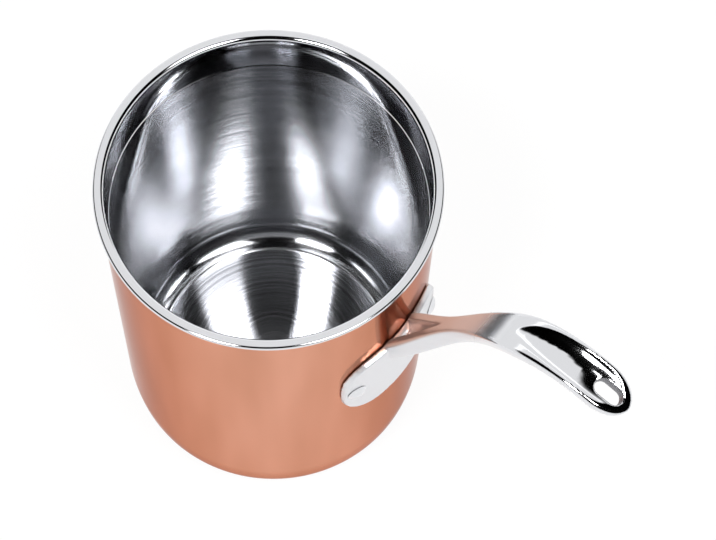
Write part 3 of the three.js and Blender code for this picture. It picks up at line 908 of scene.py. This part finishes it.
class PAN_OT_cast_handle(bpy.types.Operator):
    """Draw, hollow and bend the shank, cast it onto the flange and soften every edge"""

    bl_idname = "pan.cast_handle"
    bl_label = "Cast Handle"

    def execute(self, context):
        pot = context.scene.pan_pot
        handle = context.scene.pan_handle
        colours = context.scene.pan_colours
        points = spine_points(pot, handle)
        total = spine_length(points)
        shank = straight_shank(handle, total)
        bend(shank, points)
        combine(shank, "DIFFERENCE", pot_plug(pot, handle))
        casting = flange(pot, handle)
        casting.name = "cast_handle"
        combine(casting, "UNION", shank)
        drill(pot, handle, casting)
        modify(casting, "REMESH", mode="VOXEL", voxel_size=VOXEL)
        modify(casting, "SMOOTH", factor=SOFTENING_STEP, iterations=EDGE_SOFTENING)
        keep(casting, ["handle"], [polished_casting(colours), raw_casting(colours)])
        paint(casting, 1, in_eye(handle, points, total))
        select_only(casting)
        bpy.ops.object.shade_smooth()
        return {"FINISHED"}


class PAN_OT_rivets(bpy.types.Operator):
    """Turn one rivet, copy it and set both square through the wall"""

    bl_idname = "pan.rivets"
    bl_label = "Rivets"

    def execute(self, context):
        pot = context.scene.pan_pot
        handle = context.scene.pan_handle
        finish = mirror_steel(context.scene.pan_colours)
        pattern = turned("rivet", rivet_profile(pot, handle), RIVET_TURNS)
        for word, side in RIVET_SIDES.items():
            select_only(pattern)
            bpy.ops.object.duplicate(linked=False)
            rivet = bpy.context.object
            rivet.name = f"{word}_rivet"
            place(rivet, rivet_frame(pot, handle, side))
            keep(rivet, [f"rivet_{word}"], [finish])
            bpy.ops.object.shade_smooth_by_angle(angle=CREASE_ANGLE)
        select_only(pattern)
        bpy.ops.object.delete()
        return {"FINISHED"}


class PAN_OT_stage(bpy.types.Operator):
    """Lay the floor, light the studio and aim the camera"""

    bl_idname = "pan.stage"
    bl_label = "Stage"

    def execute(self, context):
        scene = context.scene
        stage = scene.pan_stage
        colours = scene.pan_colours
        lay_floor(colours)
        light_world(scene, stage, colours)
        aim_camera(scene, stage)
        scene.view_settings.view_transform = "Standard"
        return {"FINISHED"}


def stage_axes(stage):
    """Level directions to the camera's right and away from the camera."""
    right = Vector((math.cos(stage.azimuth), math.sin(stage.azimuth), 0))
    away = Vector((-math.sin(stage.azimuth), math.cos(stage.azimuth), 0))
    return right, away


def lay_floor(colours):
    """A wide sheet of white paper under the pan."""
    bpy.ops.object.select_all(action="DESELECT")
    bpy.ops.mesh.primitive_circle_add(
        vertices=TURNS, radius=FLOOR_RADIUS, fill_type="NGON", location=(0, 0, -FLOOR_GAP))
    floor = bpy.context.object
    floor.name = "floor"
    floor.data.materials.append(studio_paper(colours))


def sine(degrees):
    """Sine of an angle in degrees."""
    return math.sin(math.radians(degrees))


def light_world(scene, stage, colours):
    """A white cove round the horizon, a dark ceiling, and softboxes that draw bands on brushed steel."""
    right, away = stage_axes(stage)
    world = bpy.data.worlds.new("pale_studio")
    scene.world = world
    tree = empty_tree(world)
    direction = add(tree, "ShaderNodeTexCoord")["Generated"]
    height = add(tree, "ShaderNodeSeparateXYZ", {0: direction})["Z"]
    level = add(tree, "ShaderNodeVectorMath", {0: direction, 1: (1, 1, 0)}, operation="MULTIPLY")["Vector"]
    level = add(tree, "ShaderNodeVectorMath", {0: level}, operation="NORMALIZE")["Vector"]
    glow = add(tree, "ShaderNodeMapRange", {
        "Value": height, "From Min": sine(COVE_TOP + PANEL_EDGE), "From Max": sine(COVE_TOP - PANEL_EDGE)},
        interpolation_type="SMOOTHSTEP")["Result"]
    for panel in PANELS:
        bearing = math.radians(panel.middle)
        facing = right * math.sin(bearing) - away * math.cos(bearing)
        aside = add(tree, "ShaderNodeVectorMath", {0: level, 1: facing}, operation="DOT_PRODUCT")["Value"]
        share = panel.glow
        for place_on, outside, inside in (
                (aside, sine(90 - panel.half - PANEL_EDGE), sine(90 - panel.half + PANEL_EDGE)),
                (height, sine(panel.low - PANEL_EDGE), sine(panel.low + PANEL_EDGE)),
                (height, sine(panel.high + PANEL_EDGE), sine(panel.high - PANEL_EDGE))):
            soft = add(tree, "ShaderNodeMapRange", {
                "Value": place_on, "From Min": outside, "From Max": inside},
                interpolation_type="SMOOTHSTEP")["Result"]
            share = add(tree, "ShaderNodeMath", {0: soft, 1: share}, operation="MULTIPLY")["Value"]
        glow = add(tree, "ShaderNodeMath", {0: glow, 1: share}, operation="ADD")["Value"]
    light = add(tree, "ShaderNodeBackground", {"Color": colours.sky, "Strength": glow})["Background"]
    add(tree, "ShaderNodeOutputWorld", {"Surface": light})


def aim_camera(scene, stage):
    """A long lens from above, at the photograph's viewing angle."""
    right, away = stage_axes(stage)
    back = Vector((0, 0, 1)) * math.sin(stage.elevation) - away * math.cos(stage.elevation)
    up = back.cross(right)
    rim = Vector((0, 0, scene.pan_pot.height))
    aim = rim + right * stage.aim_right - up * stage.aim_down
    bpy.ops.object.camera_add()
    camera = bpy.context.object
    facing = Matrix((right, up, back)).transposed().to_4x4()
    camera.matrix_world = Matrix.Translation(aim + back * stage.distance) @ facing
    camera.data.lens = stage.focal
    scene.camera = camera


OPERATORS = (
    PAN_OT_steel_lining, PAN_OT_aluminium_core, PAN_OT_copper_shell, PAN_OT_cast_handle, PAN_OT_rivets,
    PAN_OT_stage)


class PAN_PT_sidebar(bpy.types.Panel):
    """Lists the pan's pieces and its stage"""

    bl_idname = "PAN_PT_sidebar"
    bl_label = "Deep Copper Pan"
    bl_space_type = "VIEW_3D"
    bl_region_type = "UI"
    bl_category = "Pan"

    def draw(self, context):
        for operator in OPERATORS:
            self.layout.operator(operator.bl_idname)


GROUPS = {
    "pan_pot": PotSizes, "pan_handle": HandleSizes, "pan_colours": PanColours, "pan_stage": StageSettings}


def register():
    """Registers the classes and hangs the property groups on the scene."""
    for cls in (*GROUPS.values(), *OPERATORS, PAN_PT_sidebar):
        bpy.utils.register_class(cls)
    for name, group in GROUPS.items():
        setattr(bpy.types.Scene, name, bpy.props.PointerProperty(type=group))


def unregister():
    """Takes the property groups off the scene and unregisters the classes."""
    for name in GROUPS:
        delattr(bpy.types.Scene, name)
    for cls in reversed((*GROUPS.values(), *OPERATORS, PAN_PT_sidebar)):
        bpy.utils.unregister_class(cls)


def main():
    """Makes every piece and the stage."""
    register()
    bpy.ops.pan.steel_lining()
    bpy.ops.pan.aluminium_core()
    bpy.ops.pan.copper_shell()
    bpy.ops.pan.cast_handle()
    bpy.ops.pan.rivets()
    bpy.ops.pan.stage()


if __name__ == "__main__":
    main()
